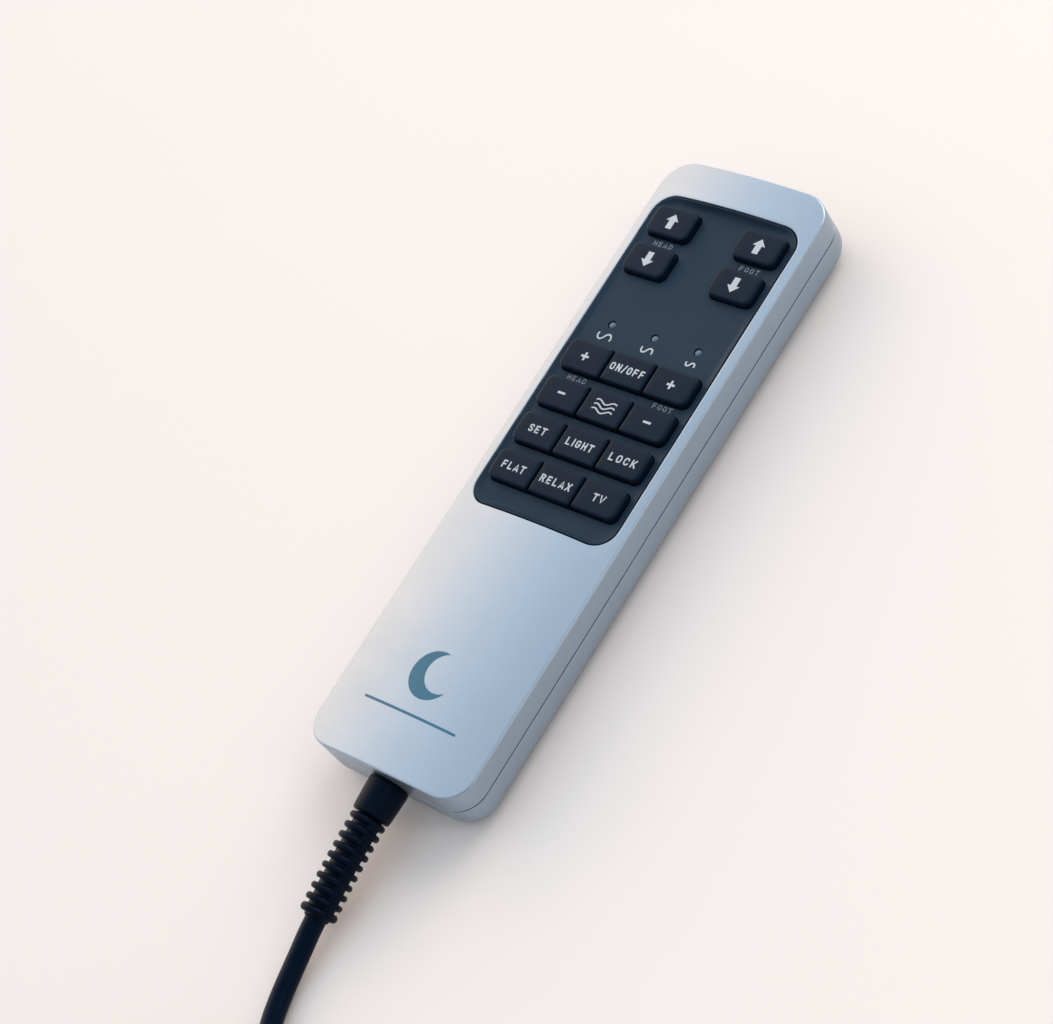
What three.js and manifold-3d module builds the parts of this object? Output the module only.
// A corded remote-control handset for an adjustable bed, lying on its back.
// Millimetres. X runs across the handset, Y along it towards the head keys, Z up from the resting face.
import * as THREE from "three";
import { mergeVertices } from "three/addons/utils/BufferGeometryUtils.js";
import Module from "manifold-3d";

const wasm = await Module();
wasm.setup();

// Case
const BODY_WIDTH = 52;
const BODY_LENGTH = 179;
const BODY_HEIGHT = 18.5; // at the crown of the face
const CROWN_DROP = 2; // the face is this much lower at its long edges
const BODY_CORNER = 8;
const BACK_ROUND = 5.5;
const SEAM_DROP = 8.8; // from the crown of the face to the seam
const SEAM_GAP = 0.3;
const WALL = 2;
const LIP_WIDTH = 0.8;
const LIP_DEPTH = 1.5;
const CLEARANCE = 0.3;

// Keypad window and tray
const WINDOW_BORDER = 3; // from the window to the long edges of the case
const WINDOW_CORNER = 6;
const WINDOW_TOP_RIM = 10.5; // from the window's upper edge to the end of the case
const TRAY_DEPTH = 2.1; // from the crown of the face to the tray's floor
const TRAY_FLOOR = 1.5;
const TRAY_RIM = 1.3;
const TRAY_FLANGE_SIDE = 0.7;
const TRAY_FLANGE_END = 1;
const TRAY_FLANGE_DEPTH = 4.2; // from the crown of the face to the top of the tray's flange
const TRAY_FLANGE_THICKNESS = 1;

// Keys
const KEY_MARGIN = 4.3; // what the three columns of keys leave of the window's width
const KEY_GROOVE = 0.6;
const KEY_ROW_GAP = 2.8;
const KEY_LENGTH = 8.6;
const KEY_STAND = 2.2; // height over the tray's floor
const KEY_CORNER = 1.8;
const KEY_GROOVE_CORNER = 0.6; // where a key meets its neighbour in a row
const KEY_CHAMFER = 0.45;
const KEY_TRAVEL = 1;
const KEY_FLANGE = 0.8;
const KEY_FLANGE_THICKNESS = 1;
const KEY_PLUNGER_RADIUS = 1.8;
const KEY_PLUNGER_LENGTH = 0.6;
const LOWEST_KEY_EDGE = 7.3; // from the window's lower edge to the lowest keys
const INDICATOR_GAP = 11.5; // from the middle of the top row of keys to the indicators
const ARROW_GAP = 19.3; // from the indicators to the middle of the down keys
const ARROW_KEY_GAP = 3.4; // between the up and down keys
const TOP_KEY_EDGE = 3.8; // from the up keys to the window's upper edge

// Board and what is on it
const BOARD_INSET = 1.5; // from the window's long edges to the board
const BOARD_THICKNESS = 1.6;
const BOARD_TAIL = 7; // how far the board runs on past the window's lower edge
const MAT_THICKNESS = 0.9;
const DOME_RADIUS = 3.9;
const DOME_TOP_RADIUS = 2.1;
const DOME_WALL = 0.7;
const INDICATOR_RADIUS = 1;
const INDICATOR_SINK = 0.15;
const INDICATOR_FOOT = 1;
const BOARD_SCREW_INSET = 7; // from the window's long edges
const CONTROLLER_SIZE = [10, 10, 1.6];
const RESONATOR_SIZE = [8, 3.6, 3];
const REGULATOR_SIZE = [6.6, 6, 2];
const CAPACITOR_RADIUS = 3;
const CAPACITOR_HEIGHT = 5.5;
const SOCKET_SIZE = [12.6, 6, 4.4];
const CRIMP_SIZE = [11.6, 7, 4.4];
const SMALL_BOSS_RADIUS = 2;

// Screws
const SCREW_RADIUS = 1.2;
const SCREW_HEAD_RADIUS = 2.2;
const SCREW_HEAD_HEIGHT = 1.6;
const SCREW_SLOP = 0.15;
const BOSS_WALL = 1.7;
const CASE_SCREW_HEAD_SINK = 3;
const SMALL_SCREW_RADIUS = 0.9;
const SMALL_SCREW_HEAD = 1;
const TOP_SCREW = [11, 5.8]; // in from the long edge and from the end of the case
const CORD_END_SCREW = [7.5, 11.5];
const CLAMP_SETBACK = 12; // from the end of the case
const CLAMP_SCREW_X = 7.6;
const CLAMP_WIDTH = 5;
const CLAMP_ROOF = 1.5;

// Cord, strain relief and plug
const CORD_DIAMETER = 5.4;
const RELIEF_LENGTH = 36.5;
const RELIEF_COLLAR_LENGTH = 10;
const RELIEF_COLLAR_RADIUS = 5.3;
const RELIEF_NECK_RADIUS = 4;
const RELIEF_RIB_RADIUS = 4.75;
const RELIEF_CORE_RADIUS = 3.6;
const RELIEF_RIBS = 10;
const RELIEF_FLANGE = 2;
const RELIEF_FLANGE_STEP = 1.4;
const CORD_LIFT = 0.2; // from the resting surface to the cord
const SHEATH_STUB = 3; // how far the sheath runs on past the clamp
const WIRE_RADIUS = 0.55;
const WIRES = 4;
const HANK_SPACING = 0.2; // between neighbouring turns of the cord
const HANK_FOLD_RADIUS = 16.2;
const HANK_WAIST_RADIUS = 22;
const HANK_WAIST_HALF = 12;
const HANK_LAYERS = 3;
const HANK_COLUMNS = 2;
const HANK_START = 90; // from the end of the case to the near end of the hank
const TIE_WIDTH = 11;
const TIE_THICKNESS = 0.8;
const TIE_SETBACK = 5; // the tie sits this far past the middle of the waist
const PLUG_RADIUS = 7;
const PLUG_BODY_LENGTH = 22;
const PLUG_SHELL_RADIUS = 6.6;
const PLUG_SHELL_LENGTH = 9;
const PLUG_SHELL_WALL = 0.6;
const PLUG_PINS = 5;
const PLUG_PIN_RADIUS = 0.7;
const PLUG_PIN_CIRCLE = 3.6;
const PLUG_PIN_SETBACK = 0.7;
const PLUG_INSERT_DEPTH = 4;

const SEAM_HEIGHT = BODY_HEIGHT - SEAM_DROP;
const WINDOW_WIDTH = BODY_WIDTH - 2 * WINDOW_BORDER;
const KEY_COLUMN_PITCH = (WINDOW_WIDTH - KEY_MARGIN) / 3;
const KEY_ROW_PITCH = KEY_LENGTH + KEY_ROW_GAP;
const ARROW_PITCH = KEY_LENGTH + ARROW_KEY_GAP;
const LOWEST_ROW = LOWEST_KEY_EDGE + KEY_LENGTH / 2;
const TOP_ARROW = TOP_KEY_EDGE + KEY_LENGTH / 2;
const INDICATOR_ROW = LOWEST_ROW + 3 * KEY_ROW_PITCH + INDICATOR_GAP;
const WINDOW_LENGTH = INDICATOR_ROW + ARROW_GAP + ARROW_PITCH + TOP_ARROW;
const BOARD_WIDTH = WINDOW_WIDTH - 2 * BOARD_INSET;
const BOARD_SCREW_X = WINDOW_WIDTH / 2 - BOARD_SCREW_INSET;
const HALF_LENGTH = BODY_LENGTH / 2;
const TRAY_Z = BODY_HEIGHT - TRAY_DEPTH;
const KEY_TOP_Z = TRAY_Z + KEY_STAND;
const KEY_FLANGE_TOP_Z = TRAY_Z - TRAY_FLOOR - CLEARANCE;
const KEY_FLANGE_BOTTOM_Z = KEY_FLANGE_TOP_Z - KEY_FLANGE_THICKNESS;
const DOME_TOP_Z = KEY_FLANGE_BOTTOM_Z - KEY_PLUNGER_LENGTH - CLEARANCE;
const MAT_BOTTOM_Z = DOME_TOP_Z - KEY_TRAVEL - DOME_WALL - MAT_THICKNESS;
const BOARD_TOP_Z = MAT_BOTTOM_Z - CLEARANCE;
const BOARD_BOTTOM_Z = BOARD_TOP_Z - BOARD_THICKNESS;
const WINDOW_TOP_Y = HALF_LENGTH - WINDOW_TOP_RIM;
const WINDOW_BOTTOM_Y = WINDOW_TOP_Y - WINDOW_LENGTH;
const WINDOW_Y = (WINDOW_TOP_Y + WINDOW_BOTTOM_Y) / 2;
const FLANGE_TOP_Z = BODY_HEIGHT - TRAY_FLANGE_DEPTH;
const BOARD_TOP_Y = WINDOW_TOP_Y - 0.5;
const BOARD_BOTTOM_Y = WINDOW_BOTTOM_Y - BOARD_TAIL;
const CORD_Z = SEAM_HEIGHT;
const CORD_RADIUS = CORD_DIAMETER / 2;

const CASE_SCREWS = [
  [TOP_SCREW[0] - BODY_WIDTH / 2, HALF_LENGTH - TOP_SCREW[1]],
  [BODY_WIDTH / 2 - TOP_SCREW[0], HALF_LENGTH - TOP_SCREW[1]],
  [CORD_END_SCREW[0] - BODY_WIDTH / 2, CORD_END_SCREW[1] - HALF_LENGTH],
  [BODY_WIDTH / 2 - CORD_END_SCREW[0], CORD_END_SCREW[1] - HALF_LENGTH],
];
const CLAMP_Y = CLAMP_SETBACK - HALF_LENGTH;

const SILVER = new THREE.MeshStandardMaterial({ color: 0xaab8c8, roughness: 0.35, metalness: 0.55 });
const TRAY = new THREE.MeshStandardMaterial({ color: 0x262c38, roughness: 0.45, metalness: 0 });
const KEY = new THREE.MeshStandardMaterial({ color: 0x20242e, roughness: 0.5, metalness: 0 });
const SILICONE = new THREE.MeshStandardMaterial({ color: 0x8d9396, roughness: 0.7, metalness: 0 });
const BOARD = new THREE.MeshStandardMaterial({ color: 0x1d5b3a, roughness: 0.5, metalness: 0 });
const CHIP = new THREE.MeshStandardMaterial({ color: 0x18181a, roughness: 0.55, metalness: 0 });
const METAL = new THREE.MeshStandardMaterial({ color: 0xc4c6c8, roughness: 0.3, metalness: 1 });
const LENS = new THREE.MeshStandardMaterial({ color: 0x74889c, roughness: 0.25, metalness: 0 });
const NYLON = new THREE.MeshStandardMaterial({ color: 0xe4e2d8, roughness: 0.55, metalness: 0 });
const RUBBER = new THREE.MeshStandardMaterial({ color: 0x0d0f14, roughness: 0.6, metalness: 0 });
const WIRE_COLOURS = [0xb02a25, 0x1b1b1d, 0xd8c23a, 0xe8e8e6];

const group = new THREE.Group();
group.name = "bed_handset";

function add(name, geometry, material) {
  const mesh = new THREE.Mesh(geometry, material);
  mesh.name = name;
  group.add(mesh);
}

// Booleans

function solid(geometry) {
  const plain = geometry.index ? geometry.toNonIndexed() : geometry.clone();
  plain.deleteAttribute("normal");
  plain.deleteAttribute("uv");
  const merged = mergeVertices(plain, 1e-4);
  return new wasm.Manifold(
    new wasm.Mesh({
      numProp: 3,
      vertProperties: new Float32Array(merged.attributes.position.array),
      triVerts: new Uint32Array(merged.index.array),
    }),
  );
}

function geometryOf(body) {
  const mesh = body.getMesh();
  const geometry = new THREE.BufferGeometry();
  geometry.setAttribute("position", new THREE.BufferAttribute(mesh.vertProperties, 3));
  geometry.setIndex(new THREE.BufferAttribute(mesh.triVerts, 1));
  geometry.computeVertexNormals();
  return geometry;
}

function cut(geometry, ...tools) {
  let body = solid(geometry);
  for (const tool of tools) body = body.subtract(solid(tool));
  return geometryOf(body);
}

function join(geometry, ...others) {
  let body = solid(geometry);
  for (const other of others) body = body.add(solid(other));
  return geometryOf(body);
}

function common(geometry, other) {
  return geometryOf(solid(geometry).intersect(solid(other)));
}

// Basic forms

function roundedRectangle(width, length, right, left = right) {
  const x = width / 2;
  const y = length / 2;
  const shape = new THREE.Shape();
  shape.moveTo(x - right, -y);
  shape.absarc(x - right, right - y, right, -Math.PI / 2, 0, false);
  shape.absarc(x - right, y - right, right, 0, Math.PI / 2, false);
  shape.absarc(left - x, y - left, left, Math.PI / 2, Math.PI, false);
  shape.absarc(left - x, left - y, left, Math.PI, 1.5 * Math.PI, false);
  return shape;
}

function prism(shape, bottom, top, segments = 4) {
  const geometry = new THREE.ExtrudeGeometry(shape, {
    depth: top - bottom,
    bevelEnabled: false,
    curveSegments: segments,
  });
  return geometry.translate(0, 0, bottom);
}

function plate(width, length, corner, bottom, top, x = 0, y = 0, segments = 4) {
  return prism(roundedRectangle(width, length, corner), bottom, top, segments).translate(x, y, 0);
}

function block(width, length, bottom, top, x = 0, y = 0) {
  return new THREE.BoxGeometry(width, length, top - bottom).translate(x, y, (bottom + top) / 2);
}

// A round piece on a vertical axis, from [radius, height] pairs that start and end on the axis.
function turned(profile, x = 0, y = 0, segments = 12) {
  const points = profile.map(([radius, height]) => new THREE.Vector2(radius, height));
  return new THREE.LatheGeometry(points, segments).rotateX(Math.PI / 2).translate(x, y, 0);
}

function peg(radius, bottom, top, x = 0, y = 0, segments = 12) {
  return turned([[0, bottom], [radius, bottom], [radius, top], [0, top]], x, y, segments);
}

function faceHeight(x) {
  return BODY_HEIGHT - CROWN_DROP * (x / (BODY_WIDTH / 2)) ** 2;
}

// Everything from the floor up to the crowned face, less an offset, as a prism along Y.
function underCrown(offset, floor) {
  const reach = BODY_WIDTH / 2 + 1;
  const steps = 16;
  const shape = new THREE.Shape();
  shape.moveTo(-reach, floor);
  shape.lineTo(reach, floor);
  for (let i = 0; i <= steps; i++) {
    const x = reach - (2 * reach * i) / steps;
    shape.lineTo(x, faceHeight(x) - offset);
  }
  shape.closePath();
  const length = BODY_LENGTH + 4;
  return new THREE.ExtrudeGeometry(shape, { depth: length, bevelEnabled: false })
    .rotateX(Math.PI / 2)
    .translate(0, length / 2, 0);
}

function tube(points, radius, sides, steps) {
  const shape = new THREE.Shape();
  for (let i = 0; i < sides; i++) {
    const angle = (2 * Math.PI * i) / sides;
    const corner = [radius * Math.cos(angle), radius * Math.sin(angle)];
    if (i === 0) shape.moveTo(...corner);
    else shape.lineTo(...corner);
  }
  shape.closePath();
  const path = new THREE.CatmullRomCurve3(
    points.map((p) => new THREE.Vector3(...p)),
    false,
    "centripetal",
  );
  return new THREE.ExtrudeGeometry(shape, { steps, bevelEnabled: false, extrudePath: path });
}

// Places of the keys

function rowY(row) {
  return WINDOW_BOTTOM_Y + LOWEST_ROW + row * KEY_ROW_PITCH;
}

function arrowY(down) {
  return WINDOW_TOP_Y - TOP_ARROW - (down ? ARROW_PITCH : 0);
}

const ROW_NAMES = [
  ["key_flat", "key_relax", "key_tv"],
  ["key_set", "key_light", "key_lock"],
  ["key_head_minus", "key_wave", "key_foot_minus"],
  ["key_head_plus", "key_on_off", "key_foot_plus"],
];
const ARROW_NAMES = [
  ["key_head_up", -1, false],
  ["key_head_down", -1, true],
  ["key_foot_up", 1, false],
  ["key_foot_down", 1, true],
];

const KEY_WIDTH = KEY_COLUMN_PITCH - KEY_GROOVE;
const keys = [];
ROW_NAMES.forEach((names, row) => {
  names.forEach((name, column) => {
    const right = column === 2 ? KEY_CORNER : KEY_GROOVE_CORNER;
    const left = column === 0 ? KEY_CORNER : KEY_GROOVE_CORNER;
    keys.push({ name, x: (column - 1) * KEY_COLUMN_PITCH, y: rowY(row), right, left });
  });
});
for (const [name, side, down] of ARROW_NAMES) {
  const x = side * KEY_COLUMN_PITCH;
  keys.push({ name, x, y: arrowY(down), right: KEY_CORNER, left: KEY_CORNER });
}

// Case

function bossHole(x, y) {
  const seat = CASE_SCREW_HEAD_SINK + SCREW_HEAD_HEIGHT;
  const well = peg(SCREW_HEAD_RADIUS + CLEARANCE, -1, seat, x, y);
  return join(well, peg(SCREW_RADIUS + CLEARANCE, seat - 0.5, SEAM_HEIGHT + 1, x, y));
}

function frontShell() {
  const bottom = SEAM_HEIGHT + SEAM_GAP / 2;
  const outside = common(
    plate(BODY_WIDTH, BODY_LENGTH, BODY_CORNER, bottom, BODY_HEIGHT + 1, 0, 0, 7),
    underCrown(0, bottom - 1),
  );
  const inside = common(
    plate(
      BODY_WIDTH - 2 * WALL,
      BODY_LENGTH - 2 * WALL,
      BODY_CORNER - WALL,
      bottom - 1,
      BODY_HEIGHT,
    ),
    underCrown(WALL, bottom - 2),
  );
  const window = plate(
    WINDOW_WIDTH,
    WINDOW_LENGTH,
    WINDOW_CORNER,
    bottom,
    BODY_HEIGHT + 2,
    0,
    WINDOW_Y,
  );
  const cordHole = new THREE.CylinderGeometry(
    RELIEF_NECK_RADIUS + CLEARANCE,
    RELIEF_NECK_RADIUS + CLEARANCE,
    4 * WALL,
    20,
  ).translate(0, -HALF_LENGTH, CORD_Z);
  const lipOutset = 2 * (WALL - LIP_WIDTH);
  const lip = cut(
    plate(
      BODY_WIDTH - lipOutset,
      BODY_LENGTH - lipOutset,
      BODY_CORNER - lipOutset / 2,
      bottom - LIP_DEPTH,
      bottom + 1,
    ),
    plate(
      BODY_WIDTH - 2 * WALL,
      BODY_LENGTH - 2 * WALL,
      BODY_CORNER - WALL,
      bottom - 2 * LIP_DEPTH,
      bottom + 2,
    ),
  );
  let shell = join(cut(outside, inside, window), lip);
  const bossRadius = SCREW_RADIUS + SCREW_SLOP + BOSS_WALL;
  for (const [x, y] of CASE_SCREWS) {
    const boss = common(
      peg(bossRadius, bottom + CLEARANCE, BODY_HEIGHT, x, y),
      underCrown(WALL / 2, 0),
    );
    const pilot = peg(SCREW_RADIUS + SCREW_SLOP, 0, faceHeight(x) - 2 * WALL, x, y);
    shell = cut(join(shell, boss), pilot);
  }
  return cut(shell, cordHole);
}

function backShell() {
  const top = SEAM_HEIGHT - SEAM_GAP / 2;
  const inner = BODY_CORNER - WALL;
  const outline = roundedRectangle(
    BODY_WIDTH - 2 * BACK_ROUND,
    BODY_LENGTH - 2 * BACK_ROUND,
    BODY_CORNER - BACK_ROUND,
  );
  const rounded = new THREE.ExtrudeGeometry(outline, {
    depth: top,
    bevelSize: BACK_ROUND,
    bevelThickness: BACK_ROUND,
    bevelSegments: 4,
    curveSegments: 4,
  }).translate(0, 0, BACK_ROUND);
  const outside = common(rounded, block(2 * BODY_WIDTH, 2 * BODY_LENGTH, -1, top));
  const step = 0.65 * BACK_ROUND;
  const inset = 2 * (WALL + BACK_ROUND / 4);
  const cavity = join(
    plate(BODY_WIDTH - 2 * WALL, BODY_LENGTH - 2 * WALL, inner, step, top + 1),
    plate(BODY_WIDTH - inset, BODY_LENGTH - inset, inner, WALL, top),
  );
  const rebateInset = 2 * (WALL - LIP_WIDTH - CLEARANCE);
  const rebate = plate(
    BODY_WIDTH - rebateInset,
    BODY_LENGTH - rebateInset,
    BODY_CORNER - rebateInset / 2,
    top - LIP_DEPTH - CLEARANCE,
    top + 1,
  );
  let shell = cut(outside, cavity, rebate);
  const bossRadius = SCREW_HEAD_RADIUS + CLEARANCE + BOSS_WALL / 2;
  for (const [x, y] of CASE_SCREWS) {
    shell = join(shell, peg(bossRadius, WALL / 2, top, x, y));
  }
  for (const [x, y] of CASE_SCREWS) shell = cut(shell, bossHole(x, y));
  const saddleTop = CORD_Z - CORD_RADIUS - CLEARANCE;
  shell = join(shell, block(2 * CORD_RADIUS, CLAMP_WIDTH + 1, WALL / 2, saddleTop, 0, CLAMP_Y));
  for (const side of [-1, 1]) {
    const x = side * CLAMP_SCREW_X;
    const post = peg(SMALL_BOSS_RADIUS, WALL / 2, CORD_Z, x, CLAMP_Y);
    const pilot = peg(SMALL_SCREW_RADIUS + SCREW_SLOP, 2 * WALL, CORD_Z + 1, x, CLAMP_Y);
    shell = cut(join(shell, post), pilot);
  }
  const cordHole = new THREE.CylinderGeometry(
    RELIEF_NECK_RADIUS + CLEARANCE,
    RELIEF_NECK_RADIUS + CLEARANCE,
    4 * WALL,
    20,
  ).translate(0, -HALF_LENGTH, CORD_Z);
  return cut(shell, cordHole);
}

function caseScrew(x, y) {
  const head = CASE_SCREW_HEAD_SINK;
  const seat = head + SCREW_HEAD_HEIGHT - CLEARANCE;
  return turned(
    [
      [0, head],
      [SCREW_HEAD_RADIUS, head],
      [SCREW_HEAD_RADIUS, seat],
      [SCREW_RADIUS, seat],
      [SCREW_RADIUS, faceHeight(x) - 2 * WALL - 1],
      [0, faceHeight(x) - 2 * WALL - 0.5],
    ],
    x,
    y,
  );
}

// Tray

function keypadTray() {
  const width = WINDOW_WIDTH - 2 * CLEARANCE;
  const length = WINDOW_LENGTH - 2 * CLEARANCE;
  const corner = WINDOW_CORNER - CLEARANCE;
  const flangeBottom = FLANGE_TOP_Z - TRAY_FLANGE_THICKNESS;
  const upper = common(
    plate(width, length, corner, flangeBottom, BODY_HEIGHT + 1, 0, WINDOW_Y),
    underCrown(CLEARANCE / 2, 0),
  );
  const flange = plate(
    WINDOW_WIDTH + 2 * TRAY_FLANGE_SIDE,
    WINDOW_LENGTH + 2 * TRAY_FLANGE_END,
    WINDOW_CORNER + TRAY_FLANGE_SIDE,
    flangeBottom,
    FLANGE_TOP_Z,
    0,
    WINDOW_Y,
  );
  const rim = 2 * TRAY_RIM;
  const dish = plate(
    width - rim,
    length - rim,
    corner - TRAY_RIM,
    TRAY_Z,
    BODY_HEIGHT + 2,
    0,
    WINDOW_Y,
  );
  const hollow = plate(
    width - rim,
    length - rim,
    corner - TRAY_RIM,
    flangeBottom - 1,
    TRAY_Z - TRAY_FLOOR,
    0,
    WINDOW_Y,
  );
  let tray = cut(join(upper, flange), dish, hollow);
  for (const [x, y] of boardScrewPlaces()) {
    const boss = peg(
      SMALL_BOSS_RADIUS,
      BOARD_TOP_Z + CLEARANCE,
      TRAY_Z - TRAY_FLOOR / 2,
      x,
      y,
    );
    const pilot = peg(
      SMALL_SCREW_RADIUS + SCREW_SLOP,
      BOARD_TOP_Z - 1,
      TRAY_Z - TRAY_FLOOR,
      x,
      y,
    );
    tray = cut(join(tray, boss), pilot);
  }
  const holes = [];
  const holeLength = KEY_LENGTH + 2 * CLEARANCE;
  const holeCorner = KEY_CORNER + CLEARANCE;
  for (let row = 0; row < ROW_NAMES.length; row++) {
    const holeWidth = 2 * KEY_COLUMN_PITCH + KEY_WIDTH + 2 * CLEARANCE;
    holes.push(plate(holeWidth, holeLength, holeCorner, 0, BODY_HEIGHT, 0, rowY(row), 2));
  }
  for (const [, side, down] of ARROW_NAMES) {
    holes.push(
      plate(
        KEY_WIDTH + 2 * CLEARANCE,
        holeLength,
        holeCorner,
        0,
        BODY_HEIGHT,
        side * KEY_COLUMN_PITCH,
        arrowY(down),
        2,
      ),
    );
  }
  for (const x of indicatorPlaces()) {
    holes.push(
      peg(INDICATOR_RADIUS + CLEARANCE / 2, 0, BODY_HEIGHT, x, indicatorY()),
    );
  }
  return cut(tray, ...holes);
}

function indicatorPlaces() {
  return [-KEY_COLUMN_PITCH, 0, KEY_COLUMN_PITCH];
}

function indicatorY() {
  return WINDOW_BOTTOM_Y + INDICATOR_ROW;
}

// One pair below the lowest keys and one between the indicators and the arrow keys.
function boardScrewPlaces() {
  const low = WINDOW_BOTTOM_Y + TRAY_RIM + SMALL_BOSS_RADIUS;
  const high = (indicatorY() + arrowY(true)) / 2;
  const places = [];
  for (const x of [-BOARD_SCREW_X, BOARD_SCREW_X]) {
    for (const y of [low, high]) places.push([x, y]);
  }
  return places;
}

// Keys

function keyCap({ x, y, right, left }) {
  const outline = roundedRectangle(
    KEY_WIDTH - 2 * KEY_CHAMFER,
    KEY_LENGTH - 2 * KEY_CHAMFER,
    right - KEY_CHAMFER,
    left - KEY_CHAMFER,
  );
  const bottom = KEY_FLANGE_TOP_Z - KEY_FLANGE_THICKNESS;
  const cap = new THREE.ExtrudeGeometry(outline, {
    depth: KEY_TOP_Z - bottom,
    bevelSize: KEY_CHAMFER,
    bevelThickness: KEY_CHAMFER,
    bevelSegments: 1,
    curveSegments: 2,
  }).translate(0, 0, bottom - KEY_CHAMFER);
  const trimmed = common(cap, block(2 * KEY_WIDTH, 2 * KEY_LENGTH, bottom, KEY_TOP_Z));
  const flange = plate(
    KEY_WIDTH,
    KEY_LENGTH + 2 * (CLEARANCE + KEY_FLANGE),
    KEY_CORNER,
    KEY_FLANGE_BOTTOM_Z,
    KEY_FLANGE_TOP_Z,
    0,
    0,
    1,
  );
  const plunger = peg(
    KEY_PLUNGER_RADIUS,
    KEY_FLANGE_BOTTOM_Z - KEY_PLUNGER_LENGTH,
    KEY_FLANGE_TOP_Z,
    0,
    0,
    8,
  );
  return join(trimmed, flange, plunger).translate(x, y, 0);
}

// Rubber mat with a hollow dome under each key

function domeMat() {
  const length = BOARD_TOP_Y - BOARD_BOTTOM_Y - BOARD_TAIL;
  const middle = WINDOW_Y + (BOARD_TOP_Y - WINDOW_TOP_Y) / 2;
  const top = MAT_BOTTOM_Z + MAT_THICKNESS;
  let mat = block(BOARD_WIDTH - 1, length - 1, MAT_BOTTOM_Z, top, 0, middle);
  const below = MAT_BOTTOM_Z - 1;
  for (const { x, y } of keys) {
    const dome = turned(
      [
        [0, MAT_BOTTOM_Z + 0.1],
        [DOME_RADIUS, MAT_BOTTOM_Z + 0.1],
        [DOME_RADIUS, top],
        [DOME_TOP_RADIUS, DOME_TOP_Z],
        [0, DOME_TOP_Z],
      ],
      x,
      y,
      8,
    );
    const hollow = turned(
      [
        [0, below],
        [DOME_RADIUS - DOME_WALL, below],
        [DOME_RADIUS - DOME_WALL, MAT_BOTTOM_Z + MAT_THICKNESS / 2],
        [DOME_TOP_RADIUS - DOME_WALL / 2, DOME_TOP_Z - DOME_WALL],
        [0, DOME_TOP_Z - DOME_WALL],
      ],
      x,
      y,
      8,
    );
    mat = cut(join(mat, dome), hollow);
  }
  const holeRadius = SMALL_BOSS_RADIUS + CLEARANCE;
  for (const [x, y] of boardScrewPlaces()) {
    mat = cut(mat, peg(holeRadius, below, top + 1, x, y));
  }
  for (const x of indicatorPlaces()) {
    mat = cut(mat, peg(INDICATOR_RADIUS + 4 * CLEARANCE, below, top + 1, x, indicatorY()));
  }
  return mat;
}

// Board

function circuitBoard() {
  const length = BOARD_TOP_Y - BOARD_BOTTOM_Y;
  const middle = (BOARD_TOP_Y + BOARD_BOTTOM_Y) / 2;
  let board = plate(BOARD_WIDTH, length, 2, BOARD_BOTTOM_Z, BOARD_TOP_Z, 0, middle, 2);
  for (const [x, y] of boardScrewPlaces()) {
    const hole = peg(SMALL_SCREW_RADIUS + CLEARANCE, 0, BODY_HEIGHT, x, y);
    board = cut(board, hole);
  }
  return board;
}

function boardScrew(x, y) {
  const head = BOARD_BOTTOM_Z - CLEARANCE / 2;
  return turned(
    [
      [0, head - SMALL_SCREW_HEAD],
      [2 * SMALL_SCREW_RADIUS, head - SMALL_SCREW_HEAD],
      [2 * SMALL_SCREW_RADIUS, head],
      [SMALL_SCREW_RADIUS, head],
      [SMALL_SCREW_RADIUS, TRAY_Z - TRAY_FLOOR - 1],
      [0, TRAY_Z - TRAY_FLOOR - 0.5],
    ],
    x,
    y,
    8,
  );
}

// A part soldered to the underside of the board.
function underBoard([width, length, height], x, y) {
  const top = BOARD_BOTTOM_Z - CLEARANCE / 3;
  return block(width, length, top - height, top, x, y);
}

function capacitor(x, y) {
  const top = BOARD_BOTTOM_Z - CLEARANCE / 3;
  return peg(CAPACITOR_RADIUS, top - CAPACITOR_HEIGHT, top, x, y);
}

function indicator(x) {
  const foot = BOARD_TOP_Z + CLEARANCE / 3;
  return turned(
    [
      [0, foot],
      [1.3 * INDICATOR_RADIUS, foot],
      [1.3 * INDICATOR_RADIUS, foot + INDICATOR_FOOT],
      [INDICATOR_RADIUS, foot + INDICATOR_FOOT],
      [INDICATOR_RADIUS, TRAY_Z - INDICATOR_SINK],
      [0, TRAY_Z - INDICATOR_SINK],
    ],
    x,
    indicatorY(),
  );
}

// Cord side

const END = -HALF_LENGTH;
const CORD_FLOOR_Z = CORD_LIFT + CORD_RADIUS;
const RELIEF_SAG = 0.53 * (CORD_Z - CORD_FLOOR_Z); // how far its free end hangs below the collar
const RELIEF_END_SLOPE = (2 * RELIEF_SAG) / RELIEF_LENGTH;

function reliefDrop(distance) {
  return RELIEF_SAG * Math.max(0, distance / RELIEF_LENGTH) ** 2;
}

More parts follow.
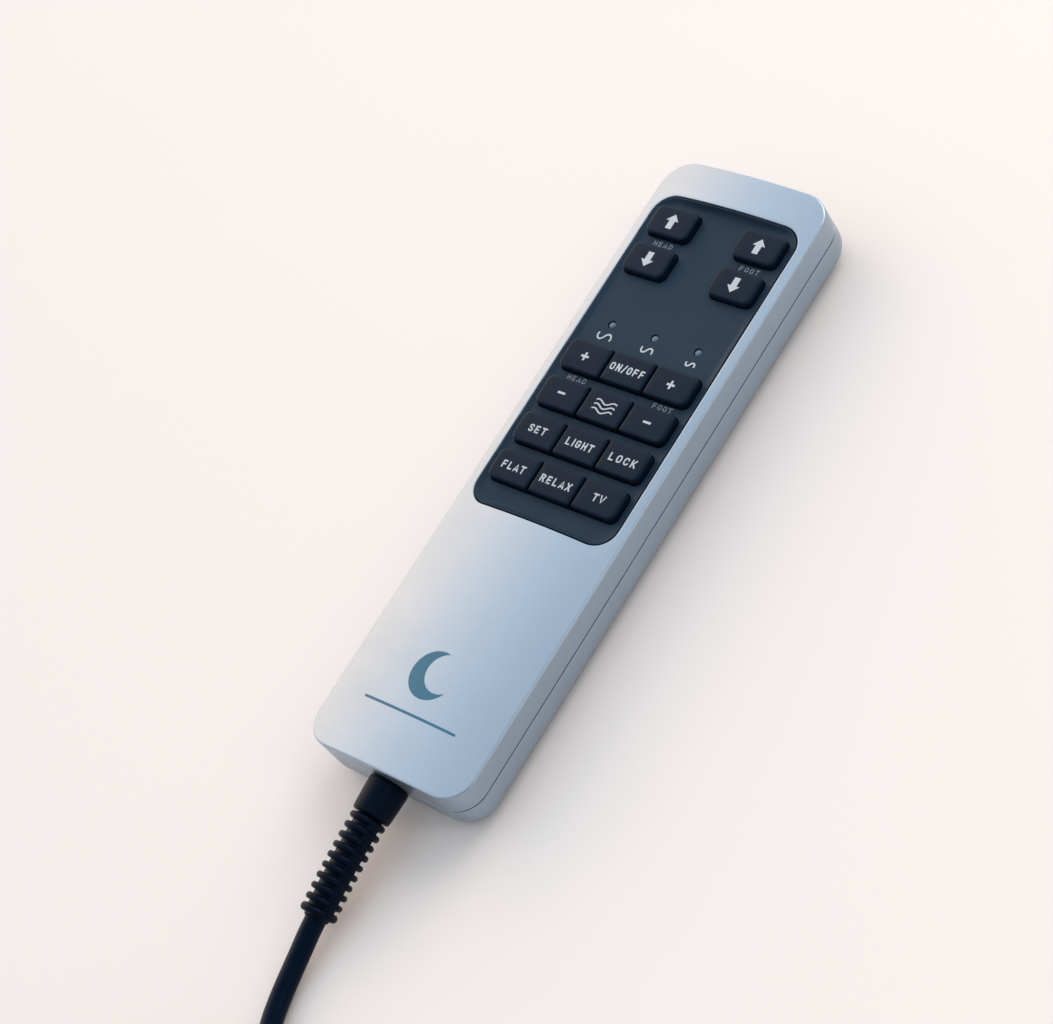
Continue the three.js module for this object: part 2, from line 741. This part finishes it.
// The strain relief is turned as a straight piece and then let sag.
function strainRelief() {
  const neck = RELIEF_NECK_RADIUS;
  const flangeIn = -WALL - CLEARANCE - RELIEF_FLANGE;
  const profile = [
    [0, flangeIn],
    [neck + RELIEF_FLANGE_STEP, flangeIn],
    [neck + RELIEF_FLANGE_STEP, -WALL - CLEARANCE],
    [neck, -WALL - CLEARANCE],
    [neck, CLEARANCE],
    [RELIEF_COLLAR_RADIUS, CLEARANCE],
    [RELIEF_RIB_RADIUS + 0.2, RELIEF_COLLAR_LENGTH],
  ];
  const pitch = (RELIEF_LENGTH - RELIEF_COLLAR_LENGTH) / RELIEF_RIBS;
  for (let rib = 0; rib < RELIEF_RIBS; rib++) {
    const start = RELIEF_COLLAR_LENGTH + rib * pitch;
    profile.push([RELIEF_CORE_RADIUS, start + 0.1]);
    profile.push([RELIEF_CORE_RADIUS, start + 0.42 * pitch]);
    profile.push([RELIEF_RIB_RADIUS, start + 0.5 * pitch]);
    profile.push([RELIEF_RIB_RADIUS, start + pitch]);
  }
  profile.push([0, RELIEF_LENGTH]);
  const points = profile.map(([radius, along]) => new THREE.Vector2(radius, along));
  const geometry = new THREE.LatheGeometry(points, 14);
  const place = geometry.attributes.position;
  for (let i = 0; i < place.count; i++) {
    const along = place.getY(i);
    place.setXYZ(
      i,
      -place.getX(i),
      -HALF_LENGTH - along,
      CORD_Z + place.getZ(i) - reliefDrop(along),
    );
  }
  return geometry;
}

const HANK_PITCH = CORD_DIAMETER + HANK_SPACING;
const HANK_OUTER_FOLD = HANK_FOLD_RADIUS + (HANK_COLUMNS - 1) * HANK_PITCH;
const HANK_RADIUS = HANK_OUTER_FOLD + CORD_RADIUS;
const HANK_LOOP_Y = END - HANK_START - HANK_RADIUS;
const HANK_HEIGHT = (HANK_LAYERS - 1) * HANK_PITCH + CORD_DIAMETER;
const HANK_LIFT = TIE_THICKNESS + CLEARANCE; // the tie lies under the hank
const HANK_TOP = HANK_LIFT + HANK_HEIGHT;

// From the strain relief down to the floor, out of line with the handset and back into the hank.
// Each point gives its share of the way across, of the way along, of the height at the strain
// relief and of the height of the hank's lowest turn.
const CORD_SHARES = [
  [0.005, 0.119, 0.49, 0],
  [0.023, 0.208, 0.22, 0],
  [0.06, 0.307, 0.04, 0],
  [0.126, 0.398, 0, 0],
  [0.233, 0.488, 0, 0],
  [0.391, 0.581, 0, 0],
  [0.586, 0.67, 0, 0],
  [0.772, 0.759, 0, 0.09],
  [0.912, 0.851, 0, 0.45],
  [0.986, 0.95, 0, 0.82],
  [1, 1, 0, 1],
];

function cordRoute() {
  const room = CLEARANCE + CORD_RADIUS * RELIEF_END_SLOPE;
  const startY = END - RELIEF_LENGTH - room;
  const startZ = CORD_Z - RELIEF_SAG - RELIEF_END_SLOPE * room;
  const joinX = HANK_OUTER_FOLD - CLEARANCE;
  const clear = HANK_RADIUS + 2 * CLEARANCE;
  const joinY = HANK_LOOP_Y + Math.sqrt(clear ** 2 - (joinX - CORD_RADIUS) ** 2);
  const joinZ = HANK_LIFT + CORD_RADIUS;
  const route = [
    [0, startY, startZ],
    [0, startY - CORD_RADIUS, startZ - RELIEF_END_SLOPE * CORD_RADIUS],
  ];
  for (const [across, along, high, low] of CORD_SHARES) {
    route.push([
      across * joinX,
      startY + along * (joinY - startY),
      CORD_FLOOR_Z + high * (startZ - CORD_FLOOR_Z) + low * (joinZ - CORD_FLOOR_Z),
    ]);
  }
  return route;
}

// How far the middle of an end loop lies from where its waist bend starts.
function waistReach() {
  const side = HANK_PITCH / 2 + HANK_WAIST_RADIUS;
  const across = HANK_WAIST_RADIUS + HANK_FOLD_RADIUS;
  return Math.sqrt(across ** 2 - side ** 2);
}

const HANK_MIDDLE_Y = HANK_LOOP_Y - waistReach() - HANK_WAIST_HALF;

// The outline of the folded cord: two round end loops and a drawn-in waist.
function hankOutline() {
  const reach = waistReach();
  const loop = HANK_WAIST_HALF + reach;
  const side = HANK_PITCH / 2 + HANK_WAIST_RADIUS;
  const grow = (HANK_COLUMNS - 1) * HANK_PITCH + CORD_RADIUS;
  const waist = HANK_WAIST_RADIUS - grow;
  const lean = Math.atan2(reach, side);
  const shape = new THREE.Shape();
  shape.absarc(0, loop, HANK_RADIUS, -lean, Math.PI + lean, false);
  shape.absarc(-side, HANK_WAIST_HALF, waist, lean, 0, true);
  shape.absarc(-side, -HANK_WAIST_HALF, waist, 0, -lean, true);
  shape.absarc(0, -loop, HANK_RADIUS, Math.PI - lean, 2 * Math.PI + lean, false);
  shape.absarc(side, -HANK_WAIST_HALF, waist, Math.PI + lean, Math.PI, true);
  shape.absarc(side, HANK_WAIST_HALF, waist, Math.PI, Math.PI - lean, true);
  return shape;
}

function cordHank() {
  return prism(hankOutline(), HANK_LIFT, HANK_TOP, 12).translate(0, HANK_MIDDLE_Y, 0);
}

function hankTie() {
  const grow = (HANK_COLUMNS - 1) * HANK_PITCH + CORD_RADIUS;
  const width = HANK_PITCH + 2 * (grow + CLEARANCE);
  const height = HANK_HEIGHT + 2 * CLEARANCE;
  const outside = roundedRectangle(width + 2 * TIE_THICKNESS, height + 2 * TIE_THICKNESS, 2);
  outside.holes.push(roundedRectangle(width, height, 0.05));
  return prism(outside, 0, TIE_WIDTH, 3)
    .rotateX(Math.PI / 2)
    .translate(0, HANK_MIDDLE_Y - TIE_SETBACK + TIE_WIDTH / 2, HANK_LIFT + HANK_HEIGHT / 2);
}

// The end of the cord turns back over the near end loop, up to the height of the plug.
// Each point gives its place across and along in fold radii, and its share of the climb.
const TAIL_SHARES = [
  [-1, -0.247, 0],
  [-1, 0, 0.02],
  [-0.926, 0.383, 0.09],
  [-0.71, 0.71, 0.21],
  [-0.383, 0.926, 0.35],
  [0, 1, 0.51],
  [0.383, 0.926, 0.67],
  [0.71, 0.735, 0.84],
  [0.951, 0.457, 0.95],
  [1.05, 0.16, 1],
  [1.043, -0.074, 1],
  [0.963, -0.309, 1],
];
const TAIL_Z = HANK_TOP + CORD_RADIUS + CLEARANCE;
const PLUG_AXIS_Z = HANK_TOP + PLUG_RADIUS + CLEARANCE;
const PLUG_TURN = -0.34; // the plug points back along the hank and in towards its waist
const TAIL_ROUTE = TAIL_SHARES.map(([across, along, climb]) => [
  across * HANK_FOLD_RADIUS,
  HANK_LOOP_Y + along * HANK_FOLD_RADIUS,
  TAIL_Z + climb * (PLUG_AXIS_Z - TAIL_Z),
]);
const PLUG_START = TAIL_ROUTE[TAIL_ROUTE.length - 1];

// A piece of the plug is turned along +Y from the cord's end, then laid along the plug's own line.
function plugPiece(profile, x = 0, z = 0, segments = 16) {
  const points = profile.map(([radius, along]) => new THREE.Vector2(radius, along));
  return new THREE.LatheGeometry(points, segments).translate(x, 0, z);
}

function layPlug(geometry) {
  return geometry.rotateZ(Math.PI + PLUG_TURN).translate(...PLUG_START);
}

const PLUG_BACK = CLEARANCE;
const PLUG_FACE = PLUG_BACK + PLUG_BODY_LENGTH;
const PLUG_INSERT_RADIUS = PLUG_SHELL_RADIUS - PLUG_SHELL_WALL - CLEARANCE / 2;

function plugBody() {
  return plugPiece([
    [0, PLUG_BACK],
    [CORD_RADIUS + 0.9, PLUG_BACK],
    [CORD_RADIUS + 1.5, PLUG_BACK + 8],
    [PLUG_RADIUS - 0.6, PLUG_BACK + 9.5],
    [PLUG_RADIUS, PLUG_BACK + 11],
    [PLUG_RADIUS, PLUG_FACE - 0.6],
    [PLUG_RADIUS - 0.6, PLUG_FACE],
    [0, PLUG_FACE],
  ]);
}

function plugShell() {
  const start = PLUG_FACE + CLEARANCE;
  const inner = PLUG_SHELL_RADIUS - PLUG_SHELL_WALL;
  return plugPiece([
    [inner, start],
    [PLUG_SHELL_RADIUS, start],
    [PLUG_SHELL_RADIUS, start + PLUG_SHELL_LENGTH],
    [inner, start + PLUG_SHELL_LENGTH],
    [inner, start],
  ]);
}

// The pins stand on an arc, as in a five-pole round connector.
function pinPlaces() {
  const places = [];
  for (let i = 0; i < PLUG_PINS; i++) {
    const angle = (Math.PI * i) / (PLUG_PINS - 1);
    places.push([PLUG_PIN_CIRCLE * Math.cos(angle), PLUG_PIN_CIRCLE * Math.sin(angle)]);
  }
  return places;
}

function plugInsert() {
  const start = PLUG_FACE + CLEARANCE;
  const end = start + PLUG_INSERT_DEPTH;
  let insert = plugPiece([
    [0, start],
    [PLUG_INSERT_RADIUS, start],
    [PLUG_INSERT_RADIUS, end],
    [0, end],
  ]);
  const bore = PLUG_PIN_RADIUS + CLEARANCE / 2;
  for (const [x, z] of pinPlaces()) {
    const hole = plugPiece(
      [
        [0, start + 1],
        [bore, start + 1],
        [bore, end + 1],
        [0, end + 1],
      ],
      x,
      z,
      8,
    );
    insert = cut(insert, hole);
  }
  return insert;
}

function plugPin(x, z) {
  const start = PLUG_FACE + CLEARANCE + 1 + CLEARANCE;
  const tip = PLUG_FACE + PLUG_SHELL_LENGTH - PLUG_PIN_SETBACK;
  return plugPiece(
    [
      [0, start],
      [PLUG_PIN_RADIUS, start],
      [PLUG_PIN_RADIUS, tip - 0.5],
      [PLUG_PIN_RADIUS / 2, tip],
      [0, tip],
    ],
    x,
    z,
    8,
  );
}

// Lead inside the case

const SHEATH_START_Y = WALL + CLEARANCE + RELIEF_FLANGE + CLEARANCE - HALF_LENGTH;
const SHEATH_END_Y = CLAMP_Y + CLAMP_WIDTH / 2 + SHEATH_STUB;
const SOCKET_Y = BOARD_BOTTOM_Y + 1 + SOCKET_SIZE[1] / 2;
const CRIMP_Y = SOCKET_Y - SOCKET_SIZE[1] / 2 - CLEARANCE - CRIMP_SIZE[1] / 2;
const CRIMP_Z = BOARD_BOTTOM_Z - CLEARANCE / 3 - CRIMP_SIZE[2] / 2;
const WIRE_SPREAD = 2.5; // between the wires at the crimp housing

function innerSheath() {
  const length = SHEATH_END_Y - SHEATH_START_Y;
  return new THREE.CylinderGeometry(CORD_RADIUS, CORD_RADIUS, length, 12).translate(
    0,
    SHEATH_START_Y + length / 2,
    CORD_Z,
  );
}

function wire(index) {
  const side = index < WIRES / 2 ? -1 : 1;
  const level = index % 2 === 0 ? 1 : -1;
  const start = SHEATH_END_Y + CLEARANCE;
  const end = CRIMP_Y - CRIMP_SIZE[1] / 2 - CLEARANCE;
  const straight = (end - start) / 8;
  const lay = WIRE_RADIUS + CLEARANCE;
  const x = side * lay;
  const z = CORD_Z + level * lay;
  const endX = (index - (WIRES - 1) / 2) * WIRE_SPREAD;
  return tube(
    [
      [x, start, z],
      [x, start + straight, z],
      [(x + endX) / 2, (start + end) / 2, (z + CRIMP_Z) / 2],
      [endX, end - straight, CRIMP_Z],
      [endX, end, CRIMP_Z],
    ],
    WIRE_RADIUS,
    6,
    12,
  );
}

function cordClamp() {
  const bottom = CORD_Z + CLEARANCE;
  const top = CORD_Z + CORD_RADIUS + CLEARANCE + CLAMP_ROOF;
  const width = 2 * (CLAMP_SCREW_X + SMALL_BOSS_RADIUS);
  const channel = new THREE.CylinderGeometry(
    CORD_RADIUS + CLEARANCE,
    CORD_RADIUS + CLEARANCE,
    12,
    16,
  ).translate(0, CLAMP_Y, CORD_Z);
  const holes = [-1, 1].map((side) =>
    peg(SMALL_SCREW_RADIUS + CLEARANCE, 0, BODY_HEIGHT, side * CLAMP_SCREW_X, CLAMP_Y),
  );
  return cut(block(width, CLAMP_WIDTH, bottom, top, 0, CLAMP_Y), channel, ...holes);
}

function clampScrew(side) {
  const seat = CORD_Z + CORD_RADIUS + 2 * CLEARANCE + CLAMP_ROOF;
  return turned(
    [
      [0, 2 * WALL + 1],
      [SMALL_SCREW_RADIUS, 2 * WALL + 1.5],
      [SMALL_SCREW_RADIUS, seat],
      [2 * SMALL_SCREW_RADIUS, seat],
      [2 * SMALL_SCREW_RADIUS, seat + SMALL_SCREW_HEAD],
      [0, seat + SMALL_SCREW_HEAD],
    ],
    side * CLAMP_SCREW_X,
    CLAMP_Y,
    8,
  );
}

// The whole handset

add("back_shell", backShell(), SILVER);
add("front_shell", frontShell(), SILVER);
add("keypad_tray", keypadTray(), TRAY);
for (const key of keys) add(key.name, keyCap(key), KEY);
add("dome_mat", domeMat(), SILICONE);
add("circuit_board", circuitBoard(), BOARD);
["left", "middle", "right"].forEach((side, i) => {
  add("indicator_" + side, indicator(indicatorPlaces()[i]), LENS);
});
add("microcontroller", underBoard(CONTROLLER_SIZE, 0, rowY(2)), CHIP);
add("resonator", underBoard(RESONATOR_SIZE, 9, rowY(3)), METAL);
add("voltage_regulator", underBoard(REGULATOR_SIZE, 12, rowY(0)), CHIP);
add("capacitor", capacitor(-12, rowY(0)), CHIP);
add("lead_socket", underBoard(SOCKET_SIZE, 0, SOCKET_Y), NYLON);
add("lead_crimp_housing", underBoard(CRIMP_SIZE, 0, CRIMP_Y), NYLON);
boardScrewPlaces().forEach(([x, y], i) => add(`board_screw_${i + 1}`, boardScrew(x, y), METAL));
CASE_SCREWS.forEach(([x, y], i) => add(`case_screw_${i + 1}`, caseScrew(x, y), METAL));
add("lead_sheath", innerSheath(), RUBBER);
WIRE_COLOURS.forEach((color, i) => {
  const insulation = new THREE.MeshStandardMaterial({ color, roughness: 0.5, metalness: 0 });
  add(`lead_wire_${i + 1}`, wire(i), insulation);
});
add("cord_clamp", cordClamp(), NYLON);
add("clamp_screw_left", clampScrew(-1), METAL);
add("clamp_screw_right", clampScrew(1), METAL);
add("strain_relief", strainRelief(), RUBBER);
add("cord", tube(cordRoute(), CORD_RADIUS, 10, 36), RUBBER);
add("cord_hank", cordHank(), RUBBER);
add("cord_tail", tube(TAIL_ROUTE, CORD_RADIUS, 10, 24), RUBBER);
add("hank_tie", hankTie(), RUBBER);
add("plug_body", layPlug(plugBody()), RUBBER);
add("plug_shell", layPlug(plugShell()), METAL);
add("plug_insert", layPlug(plugInsert()), CHIP);
pinPlaces().forEach(([x, z], i) => add(`plug_pin_${i + 1}`, layPlug(plugPin(x, z)), METAL));

export default group;
